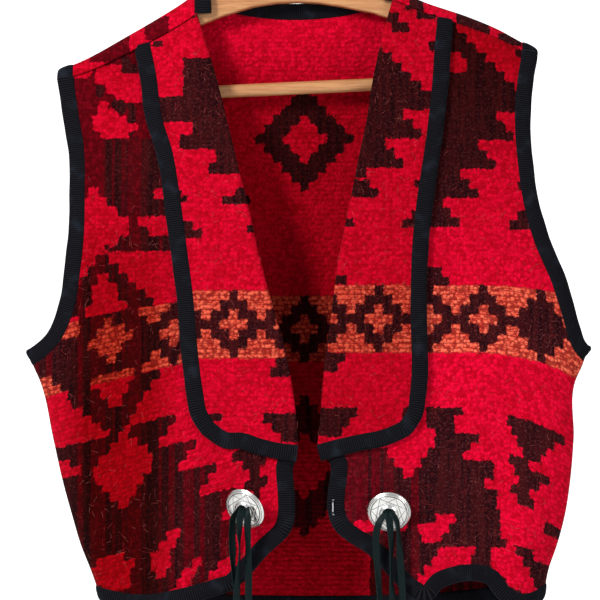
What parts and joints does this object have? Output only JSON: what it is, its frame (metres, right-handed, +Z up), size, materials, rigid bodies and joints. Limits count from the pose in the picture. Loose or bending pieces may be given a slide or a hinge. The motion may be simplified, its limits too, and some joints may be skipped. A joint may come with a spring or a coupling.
{
  "type": "western vest on a hanger",
  "caption": "Sleeveless patterned wool vest with wide turned-out lapels, dark knitted edging, silver conchos and flat laces, hanging open on a wooden hanger.",
  "frame": {"origin": "inside top of the hanger's hook, where the rod carries it", "axes": "+Z up, +X to the viewer's right, the vest's front towards -Y"},
  "size_m": [0.5219, 0.1272, 0.7278],
  "materials": {
    "wool": "matte felted blanket wool, patterned",
    "binding": "ribbed knit",
    "silver": "polished and engraved",
    "lace": "soft",
    "wood": "clear varnish",
    "steel": "plated"
  },
  "bodies": {
    "root": {"back": "wool", "front_left": "wool", "front_right": "wool", "lapel_left": "wool", "lapel_right": "wool", "binding_armhole_left": "binding", "binding_armhole_right": "binding", "binding_lapel_left": "binding", "binding_lapel_right": "binding", "binding_front_left": "binding", "binding_front_right": "binding", "binding_hem_back": "binding", "binding_neck_back": "binding", "concho_left": "silver", "concho_right": "silver", "lace_left_1": "lace", "lace_left_2": "lace", "lace_left_3": "lace", "lace_right_1": "lace", "lace_right_2": "lace", "lace_right_3": "lace", "eye_bar": "steel", "hanger_body": "wood", "hanger_bar": "wood", "hanger_hook": "steel"}
  },
  "joints": []
}
